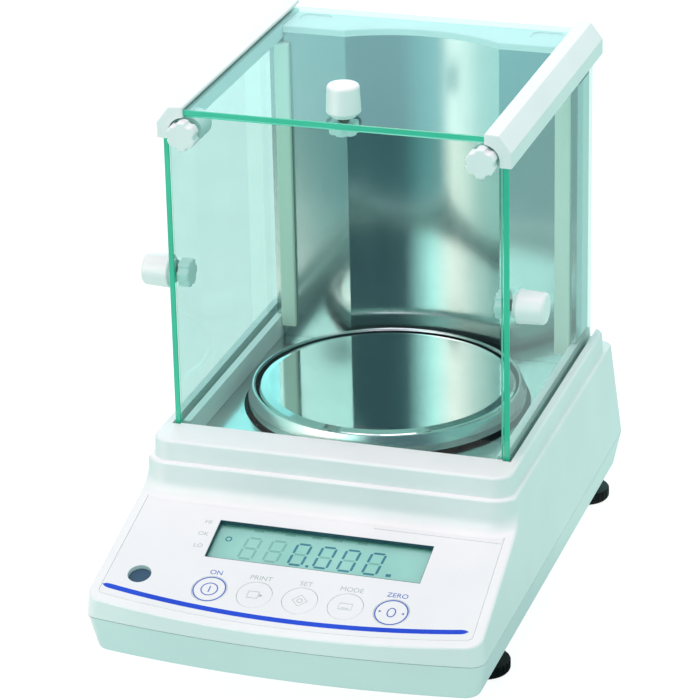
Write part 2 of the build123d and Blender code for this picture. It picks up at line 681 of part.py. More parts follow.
def rear_panel():
    """Bright sheet-metal column: front with a hollow recess, folded sides."""
    outer = column_plan(COLUMN_HALF_WIDTH, COLUMN_FRONT, COLUMN_REAR)
    inner = column_plan(COLUMN_HALF_WIDTH - SHEET_T, COLUMN_FRONT + SHEET_T, COLUMN_REAR + 5)
    sheet = extrude(Pos(0, 0, FLOOR_Z + 0.1) * (outer - inner), CAP_TOP - CAP_T - FLOOR_Z - 0.2)
    for side in (-1, 1):
        low = sorted((side * (CHAMBER_HALF_WIDTH - 0.3), side * 80))
        sheet -= box(*low, 120, 155, 60, FRAME_TOP + 0.05)
        high = sorted((side * (RAIL_IN - 0.5), side * 80))
        sheet -= box(*high, 120, 155, 217.3, 235)
        notch = sorted((side * 62, side * 80))
        sheet -= box(*notch, 129.4, 155, 207.4, 235)
    return sheet


def rear_cover():
    """Moulded back of the column, between the folded sides."""
    half = COLUMN_HALF_WIDTH - SHEET_T - 0.3
    back = box(-half, half, COLUMN_REAR - 2.4, COLUMN_REAR, FRAME_TOP + 0.1, 207.2)
    back += box(-61.5, 61.5, COLUMN_REAR - 2.4, COLUMN_REAR, 200, CAP_TOP - CAP_T - 0.1)
    for x in (-50, 50):
        back += box(x - 1, x + 1, COLUMN_REAR - 8, COLUMN_REAR - 1, FRAME_TOP + 0.1, 200)
    back -= box(-half + 6, half - 6, COLUMN_REAR - 0.6, COLUMN_REAR + 1, FRAME_TOP + 8, 200)
    return back


def rear_cap():
    """White strip that closes the column between the rails."""
    cap = extrude(Pos(0, 0, CAP_TOP - CAP_T) * column_plan(RAIL_IN - 0.3, COLUMN_FRONT - 0.5,
                                                           COLUMN_REAR + 0.3), CAP_T)
    cap = fillet(edges_at_z(cap, CAP_TOP), 0.6)
    for side in (-1, 1):
        x0, x1 = sorted((side * 47.0, side * 61.0))
        pocket = box(x0, x1, COLUMN_REAR - 12, COLUMN_REAR - 2, CAP_TOP - 0.8, CAP_TOP + 1)
        cap -= fillet(pocket.edges().filter_by(Axis.Z), 3.0)
    return cap


def rail_brackets():
    """Two black blocks that carry the rails' rear ends."""
    block = box(62.3, 71.7, 129.6, 147.8, 207.6, 215.4) + box(62.3, 71.3, 129.6, 147.8, 215, 217.4)
    for x, y in RAIL_PINS:
        block += rod(x, y, 217, 221.3, 1.3)
    return Compound(children=[block, mirrored(block)])


def door_seals():
    """Two pale strips on the column's front, beside the doors."""
    strip = box(SEAL_IN, SEAL_OUT, COLUMN_FRONT - SEAL_T, COLUMN_FRONT - 0.05, 79.5, 217.0)
    strip = fillet(strip.edges().filter_by(Axis.Z), 0.6)
    return Compound(children=[strip, mirrored(strip)])


# ---- all the pieces ----

def all_pieces():
    """Every piece by the name of its file."""
    pieces = {
        "lower_case": lower_case(),
        "upper_case": upper_case(),
        "keypad_overlay": keypad_overlay(),
        "display_window": display_window(),
        "lcd_module": lcd_module(),
        "display_board": display_board(),
        "key_switches": key_switches(),
        "level_cup": level_cup(),
        "level_vial": level_vial(),
        "case_screws": case_screws(),
        "shield_frame": shield_frame(),
        "floor_plate": floor_plate(),
        "pan_well": pan_well(),
        "draft_ring": draft_ring(),
        "weighing_pan": weighing_pan(),
        "pan_support": pan_support(),
        "pan_spindle": pan_spindle(),
        "cell_frame": cell_frame(),
        "cell_lever": cell_lever(),
        "flexure_guides": flexure_guides(),
        "tuning_fork": tuning_fork(),
        "main_board": main_board(),
        "power_inlet": power_inlet(),
        "data_port": data_port(),
        "front_glass": front_glass(),
        "top_door": top_door(),
        "rear_panel": rear_panel(),
        "rear_cover": rear_cover(),
        "rear_cap": rear_cap(),
        "rail_brackets": rail_brackets(),
        "door_seals": door_seals(),
    }
    for name, x in zip(KEY_NAMES, key_xs()):
        pieces[name] = key(x)
    for end, y in FOOT_YS.items():
        for hand, side in (("left", -1), ("right", 1)):
            pieces[f"{end}_{hand}_foot_wheel"] = foot_wheel(side * FOOT_X, y)
            pieces[f"{end}_{hand}_foot_stud"] = foot_stud(side * FOOT_X, y)
    grip, nut, screw = handle_grip(), handle_nut(), handle_screw()
    pieces["top_handle_grip"] = place_top(grip)
    pieces["top_handle_nut"] = place_top(nut, nut=True)
    pieces["top_handle_screw"] = place_top(screw)
    right_hand = {
        "door": side_door(),
        "rail": rail(),
        "clamp_knob": clamp_knob(),
        "handle_grip": place_right(grip),
        "handle_nut": place_right(nut, nut=True),
        "handle_screw": place_right(screw),
    }
    for name, shape in right_hand.items():
        pieces[f"right_{name}"] = shape
        pieces[f"left_{name}"] = mirrored(shape)
    return pieces


def settled(shape):
    """A piece moved so that the origin is the middle of the footprint."""
    solids = [Pos(0, -FOOTPRINT_CENTRE_Y, 0) * solid for solid in shape.solids()]
    return solids[0] if len(solids) == 1 else Compound(children=solids)


os.makedirs("parts", exist_ok=True)
for name, shape in all_pieces().items():
    export_step(settled(shape), f"parts/{name}.step")
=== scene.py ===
"""Looks of the precision balance: materials, printed marks, display, studio and camera.

Metres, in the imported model's frame: +X right, +Y to the rear, +Z up, the origin at the
middle of the footprint.
"""
from math import cos, pi, radians, sin

import bpy
from mathutils import Matrix, Vector


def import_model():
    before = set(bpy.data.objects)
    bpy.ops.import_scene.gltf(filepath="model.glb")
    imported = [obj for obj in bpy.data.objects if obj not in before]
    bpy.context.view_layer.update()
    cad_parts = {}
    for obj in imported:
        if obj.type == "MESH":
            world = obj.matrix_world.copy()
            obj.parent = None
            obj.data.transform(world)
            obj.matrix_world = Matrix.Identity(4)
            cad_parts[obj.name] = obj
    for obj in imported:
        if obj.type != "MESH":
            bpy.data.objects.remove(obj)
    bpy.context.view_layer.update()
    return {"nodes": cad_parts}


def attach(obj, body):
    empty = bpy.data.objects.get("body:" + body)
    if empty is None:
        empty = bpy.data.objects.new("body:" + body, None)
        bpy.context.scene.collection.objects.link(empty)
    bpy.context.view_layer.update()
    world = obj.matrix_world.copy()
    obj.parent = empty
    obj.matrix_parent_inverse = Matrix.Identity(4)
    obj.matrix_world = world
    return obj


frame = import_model()

MM = 0.001

# control panel's own axes in millimetres: x to the right, s up the slope, h above its face
TILT = radians(18.0)
PANEL_ORIGIN = Vector((0.0, -124.5, 38.0)) * MM
PANEL_AXES = Matrix(((1, 0, 0), (0, cos(TILT), sin(TILT)), (0, -sin(TILT), cos(TILT)))).transposed()
OVERLAY_FACE = -0.05
KEY_FACE = -0.05
LCD_FACE = -3.25
DISPLAY_INK = LCD_FACE + 0.01
# height of the dark disc in the level's opening, which carries painted shade of the hole
LEVEL_SHADE_FACE = -2.1
WINDOW_X, WINDOW_S, WINDOW_W, WINDOW_H = 4.2, 48.9, 94.8, 22.5
# top and bottom of the dark lining painted as shade on the display recess walls
SHADE_BAND_TOP, SHADE_BAND_BOTTOM = -0.1, -2.2
LEVEL_X, LEVEL_S, LEVEL_R = -67.3, 22.9, 5.0
INK = 0.03                  # thickness of a printed mark
KEY_FIRST_X, KEY_PITCH, KEY_S = -34.9, 19.85, 19.3
KEYS = ["power_key", "print_key", "set_key", "function_key", "zero_key"]
KEY_RING_R = 6.9
LABEL_S = 9.8                # labels above the middle of their keys
RANGE_LABEL_X = -48.0
STRIPE_R, STRIPE_S, STRIPE_W = 431.0, 6.8, 2.6
STRIPE_LEFT, STRIPE_RIGHT = -81.0, 79.0

# display
DIGIT_W, DIGIT_H, DIGIT_FOOT = 6.0, 12.4, 42.4
UNLIT_X = (-30.4, -19.3)
LIT_X = (-8.2, 2.9, 13.5, 24.6)

# camera
CAMERA_AT = Vector((420.2, -1297.7, 696.8)) * MM
CAMERA_AZIMUTH = radians(18.17)
CAMERA_ELEVATION = radians(23.193)
CAMERA_ROLL = radians(-1.2475)
CAMERA_FOCAL_PX = 3425.0
FRAME_PX = 700.0
SENSOR_MM = 36.0

COLOURS = {
    "case": ((0.85, 0.87, 0.88), (0.89, 0.91, 0.92)),
    "film": ((0.83, 0.855, 0.875), (0.87, 0.89, 0.91)),
    "knob": ((0.88, 0.895, 0.905), (0.92, 0.935, 0.945)),
    "black": ((0.002, 0.003, 0.003), (0.005, 0.006, 0.007)),
    # level: the level's own blue tint darkened with painted shade of its deep hole
    "level": ((0.035, 0.09, 0.15), (0.045, 0.11, 0.18)),
    # painted shade of the display recess walls
    "recess_shade": ((0.012, 0.07, 0.09), (0.02, 0.09, 0.115)),
    "blue_ink": ((0.004, 0.055, 0.62), (0.008, 0.08, 0.72)),
    "grey_ink": ((0.42, 0.50, 0.49), (0.49, 0.57, 0.56)),
    "label_ink": ((0.05, 0.14, 0.50), (0.08, 0.18, 0.57)),
    "lcd": ((0.38, 0.68, 0.63), (0.43, 0.74, 0.69)),
    "segment": ((0.06, 0.22, 0.32), (0.08, 0.27, 0.37)),
    "ghost": ((0.28, 0.52, 0.49), (0.31, 0.56, 0.53)),
    "seal": ((0.86, 0.88, 0.78), (0.90, 0.92, 0.82)),
    "steel": ((0.60, 0.63, 0.63), (0.64, 0.67, 0.67)),
    "column_steel": ((0.38, 0.46, 0.45), (0.42, 0.50, 0.49)),
    "aluminium": ((0.56, 0.58, 0.60), (0.66, 0.68, 0.70)),
    "board": ((0.01, 0.13, 0.06), (0.02, 0.20, 0.09)),
    "glass_edge": ((0.035, 0.56, 0.35), (0.055, 0.66, 0.43)),
    "glass_tint": ((0.85, 0.945, 0.93), (0.87, 0.96, 0.945)),
    "plate_tint": ((0.93, 0.98, 0.97), (0.97, 1.0, 0.99)),
    "floor": ((0.16, 0.16, 0.16), (0.18, 0.18, 0.18)),
}

# studio, in metres
SKY_COLOUR = (0.525, 0.785, 0.725)
LIGHT_AT, LIGHT_SIZE, LIGHT_POWER = (-0.15, -0.3, 2.2), 1.2, 27.0
LIGHT_COLOUR = (1.0, 0.50, 0.64)
FLOOR_SIZE, FLOOR_EMISSION = 60.0, 0.9
REFLECTOR_R, REFLECTOR_H = 1.9, 1.7
REFLECTOR_Y = 0.095
FLOOR_CARD_Z = 0.0006
REFLECTOR_STRENGTH = 1.5
# colour of the cards by bearing in degrees: 0 in front of the balance, 90 to its right
WALL_GLOW = [(-180, (0.7, 1.3, 1.35)), (-148, (0.7, 1.3, 1.35)), (-130, (0.25, 0.45, 0.42)),
             (-95, (0.45, 0.75, 0.70)), (-74, (0.8, 1.0, 0.95)), (-52, (2.1, 1.7, 1.65)),
             (-34, (4.2, 2.6, 2.5)), (-18, (2.1, 2.4, 2.35)), (1, (0.08, 0.14, 0.17)),
             (45, (0.08, 0.13, 0.16)), (65, (0.30, 0.50, 0.47)), (150, (0.30, 0.50, 0.47)),
             (180, (0.7, 1.3, 1.35))]
FLOOR_GLOW = [(-180, (0.40, 0.65, 0.62)), (-80, (0.6, 0.8, 0.75)), (-56, (0.95, 0.95, 0.9)),
              (-34, (2.4, 1.7, 1.6)), (-25, (0.32, 0.50, 0.52)), (-13, (0.22, 0.42, 0.45)),
              (2, (0.08, 0.15, 0.18)), (40, (0.08, 0.15, 0.18)), (75, (0.45, 0.60, 0.56)),
              (180, (0.40, 0.65, 0.62))]


# ---- materials ----

class Shader:
    """A material's node tree, with short ways to add and join nodes."""

    def __init__(self, name):
        self.material = bpy.data.materials.new(name)
        self.material.use_nodes = True
        self.nodes = self.material.node_tree.nodes
        self.links = self.material.node_tree.links
        self.nodes.clear()
        self.coords = self.nodes.new("ShaderNodeTexCoord")
        self.output = self.nodes.new("ShaderNodeOutputMaterial")

    def join(self, source, target):
        self.links.new(source, target)

    def noise(self, scale, detail=3.0, stretch=(1, 1, 1)):
        """Noise in the piece's own coordinates, stretched along an axis."""
        mapping = self.nodes.new("ShaderNodeMapping")
        mapping.inputs["Scale"].default_value = stretch
        texture = self.nodes.new("ShaderNodeTexNoise")
        texture.inputs["Scale"].default_value = scale
        texture.inputs["Detail"].default_value = detail
        self.join(self.coords.outputs["Object"], mapping.inputs["Vector"])
        self.join(mapping.outputs["Vector"], texture.inputs["Vector"])
        return texture.outputs["Fac"]

    def ramp(self, factor, low, high):
        """Colour between two colours."""
        ramp = self.nodes.new("ShaderNodeValToRGB")
        ramp.color_ramp.elements[0].position = 0.3
        ramp.color_ramp.elements[1].position = 0.7
        ramp.color_ramp.elements[0].color = (*low, 1)
        ramp.color_ramp.elements[1].color = (*high, 1)
        self.join(factor, ramp.inputs["Fac"])
        return ramp.outputs["Color"]

    def spread(self, factor, low, high):
        """Number between two numbers."""
        spread = self.nodes.new("ShaderNodeMapRange")
        spread.inputs["To Min"].default_value = low
        spread.inputs["To Max"].default_value = high
        self.join(factor, spread.inputs["Value"])
        return spread.outputs["Result"]

    def bump(self, height, strength, distance):
        bump = self.nodes.new("ShaderNodeBump")
        bump.inputs["Strength"].default_value = strength
        bump.inputs["Distance"].default_value = distance
        self.join(height, bump.inputs["Height"])
        return bump.outputs["Normal"]

    def principled(self, colours, rough, grain, stretch=(1, 1, 1), bump=0.0, **sockets):
        """Principled surface whose colour, roughness and relief all vary a little."""
        surface = self.nodes.new("ShaderNodeBsdfPrincipled")
        fine = self.noise(grain, 3.0, stretch)
        broad = self.noise(28.0, 2.0)
        self.join(self.ramp(broad, *colours), surface.inputs["Base Color"])
        self.join(self.spread(fine, *rough), surface.inputs["Roughness"])
        if bump:
            self.join(self.bump(fine, bump, 0.00005), surface.inputs["Normal"])
        for socket, value in sockets.items():
            surface.inputs[socket.replace("_", " ")].default_value = value
        return surface.outputs["BSDF"]

    def maths(self, operation, first, second=0.0):
        """Result of a sum on numbers or sockets."""
        node = self.nodes.new("ShaderNodeMath")
        node.operation = operation
        for socket, value in zip(node.inputs, (first, second)):
            if isinstance(value, (int, float)):
                socket.default_value = value
            else:
                self.join(value, socket)
        return node.outputs["Value"]

    def mix(self, factor, first, second):
        """First surface where the factor is 0, second where it is 1."""
        node = self.nodes.new("ShaderNodeMixShader")
        self.join(factor, node.inputs["Fac"])
        self.join(first, node.inputs[1])
        self.join(second, node.inputs[2])
        return node.outputs["Shader"]

    def backfacing(self):
        """1 on a face seen from inside its solid, else 0."""
        return self.nodes.new("ShaderNodeNewGeometry").outputs["Backfacing"]

    def see_through(self, smudge, tint, rough, ior):
        """Tinted clear surface, with gloss on its outside only."""
        clear = self.nodes.new("ShaderNodeBsdfTransparent")
        self.join(self.ramp(smudge, *tint), clear.inputs["Color"])
        gloss = self.nodes.new("ShaderNodeBsdfGlossy")
        self.join(self.spread(smudge, *rough), gloss.inputs["Roughness"])
        fresnel = self.nodes.new("ShaderNodeFresnel")
        fresnel.inputs["IOR"].default_value = ior
        outside = self.maths("SUBTRACT", 1.0, self.backfacing())
        amount = self.maths("MULTIPLY", fresnel.outputs["Fac"], outside)
        return self.mix(amount, clear.outputs["BSDF"], gloss.outputs["BSDF"])

    def finish(self, surface):
        self.join(surface, self.output.inputs["Surface"])
        return self.material


def plastic(name, colours, rough, grain=2200.0, bump=0.12, **sockets):
    """Moulded plastic with a fine spark-eroded grain."""
    shader = Shader(name)
    return shader.finish(shader.principled(colours, rough, grain, bump=bump, **sockets))


def ink(name, colours):
    """Screen-printed ink."""
    shader = Shader(name)
    surface = shader.principled(colours, (0.38, 0.5), 3000.0, bump=0.05, Specular_IOR_Level=0.2)
    return shader.finish(surface)


def metal(name, colours, rough, stretch, grain=900.0, bump=0.04, clear=0.0):
    """Metal brushed along one axis, with some clear gloss over the brushing."""
    shader = Shader(name)
    surface = shader.principled(colours, rough, grain, stretch, bump, Metallic=1.0,
                                Coat_Weight=clear, Coat_Roughness=0.02)
    return shader.finish(surface)


def glass(name, axis):
    """Clear float glass whose big faces look along one axis and whose cut edges are green."""
    shader = Shader(name)
    face = shader.see_through(shader.noise(35.0, 4.0), COLOURS["glass_tint"], (0.01, 0.03), 1.45)
    edge = shader.principled(COLOURS["glass_edge"], (0.12, 0.22), 500.0, Coat_Weight=0.4)
    split = shader.nodes.new("ShaderNodeSeparateXYZ")
    shader.join(shader.coords.outputs["Normal"], split.inputs["Vector"])
    along_axis = shader.maths("ABSOLUTE", split.outputs[axis])
    is_face = shader.maths("GREATER_THAN", along_axis, 0.9)
    is_clear = shader.maths("MAXIMUM", is_face, shader.backfacing())
    return shader.finish(shader.mix(is_clear, edge, face))


def clear_plate(name):
    """Thin clear plate over the display and the level."""
    shader = Shader(name)
    smudge = shader.noise(60.0, 3.0)
    return shader.finish(shader.see_through(smudge, COLOURS["plate_tint"], (0.05, 0.12), 1.3))


# ---- flat printed marks ----

def panel_point(x, s, h):
    """Point on the control panel, from millimetres in its own axes."""
    return PANEL_ORIGIN + PANEL_AXES @ (Vector((x, s, h)) * MM)


def new_piece(name, vertices, faces, material, body, slot):
    """Mesh piece that rides on a body."""
    mesh = bpy.data.meshes.new(name)
    mesh.from_pydata([tuple(v) for v in vertices], [], faces)
    mesh.validate()
    mesh.materials.append(material)
    piece = bpy.data.objects.new(name, mesh)
    bpy.context.scene.collection.objects.link(piece)
    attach(piece, body)
    return piece


def prisms(outlines, height):
    """Vertices and faces of flat prisms of ink, one for each closed (x, s) outline."""
    vertices, faces = [], []
    for outline in outlines:
        start, count = len(vertices), len(outline)
        vertices += [panel_point(x, s, height + INK) for x, s in outline]
        vertices += [panel_point(x, s, height) for x, s in outline]
        faces.append([start + i for i in range(count)])
        faces.append([start + count + i for i in reversed(range(count))])
        for i in range(count):
            j = (i + 1) % count
            faces.append([start + count + i, start + count + j, start + j, start + i])
    return vertices, faces


def band(centre_line, width, height, closed=False, thick=INK):
    """Vertices and faces of a strip of even width along an (x, s) line."""
    count = len(centre_line)
    sides = []
    for i, (x, s) in enumerate(centre_line):
        before = centre_line[i - 1] if closed or i else centre_line[i]
        after = centre_line[(i + 1) % count] if closed or i < count - 1 else centre_line[i]
        along = Vector((after[0] - before[0], after[1] - before[1])).normalized()
        across = Vector((-along.y, along.x)) * width / 2
        sides.append([(x + across.x, s + across.y), (x - across.x, s - across.y)])
    vertices, faces = [], []
    for (left, right) in sides:
        for h in (height + thick, height):
            vertices += [panel_point(*left, h), panel_point(*right, h)]
    for i in range(count if closed else count - 1):
        a, b = 4 * i, 4 * ((i + 1) % count)
        faces += [[a, b, b + 1, a + 1], [a + 2, a + 3, b + 3, b + 2],
                  [a, a + 2, b + 2, b], [a + 1, b + 1, b + 3, a + 3]]
    if not closed:
        last = 4 * (count - 1)
        faces += [[0, 1, 3, 2], [last, last + 2, last + 3, last + 1]]
    return vertices, faces


def joined(*parts):
    """Several (vertices, faces) as one."""
    vertices, faces = [], []
    for part_vertices, part_faces in parts:
        start = len(vertices)
        vertices += part_vertices
        faces += [[start + i for i in face] for face in part_faces]
    return vertices, faces


def circle(x, s, radius, steps=64, aspect=1.0):
    """Points of a circle or ellipse."""
    turns = [2 * pi * i / steps for i in range(steps)]
    return [(x + radius * cos(t), s + radius * aspect * sin(t)) for t in turns]


def rectangle(x, s, width, height):
    """Corners of a rectangle about its middle."""
    w, h = width / 2, height / 2
    return [(x - w, s - h), (x + w, s - h), (x + w, s + h), (x - w, s + h)]


def key_x(name):
    """Middle of a key across the panel."""
    return KEY_FIRST_X + KEY_PITCH * KEYS.index(name)


def label(name, text, x, s, size, material):
    """Plain word printed on the panel."""
    curve = bpy.data.curves.new(name, "FONT")
    curve.body = text
    curve.size = size * MM
    curve.align_x = "CENTER"
    curve.align_y = "CENTER"
    curve.extrude = INK / 2 * MM
    letters = bpy.data.objects.new(name, curve)
    bpy.context.scene.collection.objects.link(letters)
    mesh = bpy.data.meshes.new_from_object(letters)
    bpy.data.objects.remove(letters)
    at = panel_point(x, s, OVERLAY_FACE + INK / 2)
    points = [at + PANEL_AXES @ v.co for v in mesh.vertices]
    faces = [list(p.vertices) for p in mesh.polygons]
    bpy.data.meshes.remove(mesh)
    return new_piece(name, points, faces, material, "case", "overlay_white")


def stripe(material):
    """Blue bowed stripe along the front of the panel."""
    steps = 96
    vertices, faces = [], []
    for i in range(steps + 1):
        x = STRIPE_LEFT + (STRIPE_RIGHT - STRIPE_LEFT) * i / steps
        middle = STRIPE_S + STRIPE_R - (STRIPE_R ** 2 - x ** 2) ** 0.5
        taper = min(1.0, max(0.0, min(x - STRIPE_LEFT, STRIPE_RIGHT - x)) / 2.5) ** 0.5
        half = max(0.05, STRIPE_W / 2 * taper)
        for h in (OVERLAY_FACE + INK, OVERLAY_FACE):
            vertices += [panel_point(x, middle + half, h), panel_point(x, middle - half, h)]
    for i in range(steps):
        a, b = 4 * i, 4 * i + 4
        faces += [[a + 1, b + 1, b, a], [a + 2, b + 2, b + 3, a + 3],
                  [a, b, b + 2, a + 2], [a + 3, b + 3, b + 1, a + 1]]
    last = 4 * steps
    faces += [[0, 2, 3, 1], [last + 1, last + 3, last + 2, last]]
    return new_piece("panel_stripe", vertices, faces, material, "case", "overlay_white")


def key_ring(key, radius, width, aspect=1.0, steps=64):
    """Printed ring about the middle of a key."""
    points = circle(key_x(key), KEY_S, radius, steps, aspect)
    return band(points, width, KEY_FACE, closed=True)


def key_mark(key, material, *parts):
    """Printed mark that rides on its key."""
    new_piece(f"{key}_mark", *joined(*parts), material, key, "key_white")


def blue_key_marks(blue):
    """Ringed symbols of the first and last keys."""
    power, zero = key_x("power_key"), key_x("zero_key")
    bar = prisms([rectangle(power, KEY_S, 0.5, 3.6)], KEY_FACE)
    key_mark("power_key", blue, key_ring("power_key", KEY_RING_R, 0.6),
             key_ring("power_key", 3.5, 0.5), bar)
    arrows = [[(zero + side * 5.4, KEY_S + side * 0.7), (zero + side * 4.2, KEY_S),
               (zero + side * 5.4, KEY_S - side * 0.7)] for side in (-1, 1)]
    key_mark("zero_key", blue, key_ring("zero_key", KEY_RING_R, 0.6),
             key_ring("zero_key", 1.7, 0.5, aspect=1.45), prisms(arrows, KEY_FACE))


def grey_key_marks(grey):
    """Plain symbols of the three keys between."""
    sheet = key_x("print_key")
    arrow = [(sheet + 2.1, KEY_S - 1.0), (sheet + 3.7, KEY_S), (sheet + 2.1, KEY_S + 1.0)]
    page = rectangle(sheet - 0.6, KEY_S, 4.6, 3.8)
    key_mark("print_key", grey, band(page, 0.35, KEY_FACE, closed=True),
             prisms([arrow], KEY_FACE))
    key_mark("set_key", grey, key_ring("set_key", 3.3, 0.35, steps=4),
             key_ring("set_key", 1.1, 0.35, steps=24))
    tab = key_x("function_key")
    key_mark("function_key", grey,
             band(rectangle(tab, KEY_S, 5.6, 3.4), 0.35, KEY_FACE, closed=True),
             prisms([rectangle(tab, KEY_S - 0.9, 3.2, 0.35)], KEY_FACE))


def panel_lines(grey, blue):
    """Empty box at the top right and the labels of the keys and the display."""
    outline = rectangle(51.2, 69.5, 55.5, 6.6)
    new_piece("panel_box", *band(outline, 0.25, OVERLAY_FACE, closed=True), grey, "case",
              "overlay_white")
    words = [("ON", "power_key", blue), ("PRINT", "print_key", grey), ("SET", "set_key", grey),
             ("MODE", "function_key", grey), ("ZERO", "zero_key", blue)]
    for text, key, colour in words:
        label(f"{key}_label", text, key_x(key), KEY_S + LABEL_S, 3.6, colour)
    for text, s in (("HI", 58.0), ("OK", 50.8), ("LO", 43.6)):
        label(f"range_label_{text.lower()}", text, RANGE_LABEL_X, s, 3.2, grey)


# ---- display ----

SEGMENTS = {                # ends of the seven bars in a digit one wide and two tall
    "top": ((0, 2), (1, 2)), "middle": ((0, 1), (1, 1)), "bottom": ((0, 0), (1, 0)),
    "upper_left": ((0, 1), (0, 2)), "upper_right": ((1, 1), (1, 2)),
    "lower_left": ((0, 0), (0, 1)), "lower_right": ((1, 0), (1, 1)),
}


def digit_bars(x, s, width, height, names):
    """Outlines of some bars of a slanted seven-bar digit whose foot is at x, s."""
    slant, thick, gap = 0.10, 1.1, 0.35
    bars = []
    for name in names:
        (x0, s0), (x1, s1) = SEGMENTS[name]
        a = Vector((x0 * width, s0 * height / 2))
        b = Vector((x1 * width, s1 * height / 2))
        along = (b - a).normalized()
        across = Vector((-along.y, along.x)) * thick / 2
        a, b = a + along * gap, b - along * gap
        tip = along * thick / 2
        points = [a, a + tip - across, b - tip - across, b, b - tip + across, a + tip + across]
        bars.append([(x + p.x + slant * p.y, s + p.y) for p in points])
    return bars


def display_shade_band(material):
    """Dark lining on the walls of the display opening: painted shade of the recess."""
    outline = rectangle(WINDOW_X, WINDOW_S, WINDOW_W - 0.26, WINDOW_H - 0.26)
    lining = band(outline, 0.3, SHADE_BAND_BOTTOM, closed=True, thick=SHADE_BAND_TOP - SHADE_BAND_BOTTOM)
    new_piece("display_shade_band", *lining, material, "case", "black_plastic")


def level_shade_disc(material):
    """Dark blue-teal disc across the level's opening: the level's own tint with painted shade of
    the deep hole.
    """
    lens = prisms([circle(LEVEL_X, LEVEL_S, LEVEL_R)], LEVEL_SHADE_FACE)
    new_piece("level_shade_disc", *lens, material, "case", "black_plastic")


def digits(dark, ghost):
    """Reading of 0.000, and the bars of six digits that are off and still faintly seen."""
    zero = [name for name in SEGMENTS if name != "middle"]
    lit = [bar for x in LIT_X for bar in digit_bars(x, DIGIT_FOOT, DIGIT_W, DIGIT_H, zero)]
    point = rectangle(0.4, DIGIT_FOOT, 1.3, 1.3)
    new_piece("reading", *prisms(lit + [point], DISPLAY_INK), dark, "case", "lcd")
    unlit = []
    for x in UNLIT_X:
        unlit += digit_bars(x, DIGIT_FOOT, DIGIT_W, DIGIT_H, SEGMENTS)
    for x in LIT_X:
        unlit += digit_bars(x, DIGIT_FOOT, DIGIT_W, DIGIT_H, ["middle"])
    new_piece("unlit_digits", *prisms(unlit, DISPLAY_INK), ghost, "case", "lcd")


def display_marks(dark, ghost):
    """Small marks beside and above the digits, lit and unlit."""
    ring = band(circle(-37.6, 52.6, 1.2, steps=32), 0.55, DISPLAY_INK, closed=True)
    block = prisms([rectangle(36.0, DIGIT_FOOT + 0.6, 2.2, 1.6)], DISPLAY_INK)
    new_piece("display_marks", *joined(ring, block), dark, "case", "lcd")
    faint = [rectangle(x, 59.4, 4.4, 1.4) for x in (-26.0, -12.0, 0.0, 9.0, 20.0)]
    new_piece("unlit_marks", *prisms(faint, DISPLAY_INK), ghost, "case", "lcd")


# ---- assign ----

def materials():
    """Every material by a short name."""
    made = {
        "case": plastic("case_white", COLOURS["case"], (0.38, 0.5)),
        "film": plastic("overlay_film", COLOURS["film"], (0.32, 0.42), 3200.0, 0.05),
        "knob": plastic("knob_white", COLOURS["knob"], (0.3, 0.42)),
        "black": plastic("black_plastic", COLOURS["black"], (0.45, 0.6), Specular_IOR_Level=0.15),
        # disc in the level's opening: the level's tint with painted shade of the hole
        "level": plastic("painted_level_shade", COLOURS["level"], (0.35, 0.5), Specular_IOR_Level=0.2),
        # painted shade lining the walls of the display recess
        "recess_shade": plastic("painted_recess_shade", COLOURS["recess_shade"], (0.4, 0.5), Specular_IOR_Level=0.2),
        "seal": plastic("seal_pale", COLOURS["seal"], (0.45, 0.6), 1800.0),
        "blue": ink("blue_ink", COLOURS["blue_ink"]),
        "label": ink("label_ink", COLOURS["label_ink"]),
        "grey": ink("grey_ink", COLOURS["grey_ink"]),
        "segment": ink("segment_dark", COLOURS["segment"]),
        "ghost": ink("segment_unlit", COLOURS["ghost"]),
        "lcd": plastic("lcd_green", COLOURS["lcd"], (0.25, 0.4), 1500.0, 0.03),
        "plate": clear_plate("clear_plate"),
        "mirror": metal("polished_steel", COLOURS["steel"], (0.05, 0.09), (1, 1, 1), 260.0, 0.0),
        "ring": metal("ring_steel", COLOURS["steel"], (0.16, 0.26), (1, 1, 1), 400.0, 0.0, 0.4),
        "column": metal("column_steel", COLOURS["column_steel"], (0.13, 0.19), (1, 1, 0.02), 300.0,
                        0.0, 0.5),
        "floor_steel": metal("floor_steel", COLOURS["steel"], (0.16, 0.24), (1, 0.03, 1), 500.0,
                             0.0, 0.3),
        "steel": metal("plain_steel", COLOURS["steel"], (0.25, 0.4), (1, 1, 1)),
        "aluminium": metal("cast_aluminium", COLOURS["aluminium"], (0.35, 0.5), (1, 1, 1)),
        "board": plastic("circuit_board", COLOURS["board"], (0.3, 0.45), 900.0),
    }
    for axis in "XYZ":
        made[f"glass_{axis}"] = glass(f"shield_glass_{axis.lower()}", axis)
    return made


def material_for(node):
    """Short name of the material of a CAD node."""
    exact = {
        "keypad_overlay": "film", "display_window": "plate", "lcd_module": "lcd",
        "display_board": "board", "main_board": "board", "key_switches": "black",
        "level_cup": "black", "level_vial": "plate", "floor_plate": "floor_steel",
        "pan_well": "black", "draft_ring": "ring", "weighing_pan": "mirror",
        "pan_support": "aluminium", "cell_frame": "aluminium", "cell_lever": "aluminium",
        "power_inlet": "black", "front_glass": "glass_Y", "top_door": "glass_Z",
        "left_door": "glass_X", "right_door": "glass_X", "rear_panel": "column",
        "rail_brackets": "black", "door_seals": "seal", "lower_case": "case",
        "upper_case": "case", "shield_frame": "case", "rear_cover": "case",
        "rear_cap": "case", "left_rail": "case", "right_rail": "case",
    }
    if node in exact:
        return exact[node]
    if node in KEYS:
        return "film"
    if node.endswith("foot_wheel"):
        return "black"
    if node.endswith(("grip", "nut", "knob")):
        return "knob"
    return "steel"


def dress(made):
    """Give every CAD node its material."""
    for node in frame["nodes"]:
        cad = bpy.data.objects[node]
        material = made[material_for(node)]
        if not cad.material_slots:
            cad.data.materials.append(material)
        for slot in cad.material_slots:
            slot.material = material


# ---- studio ----

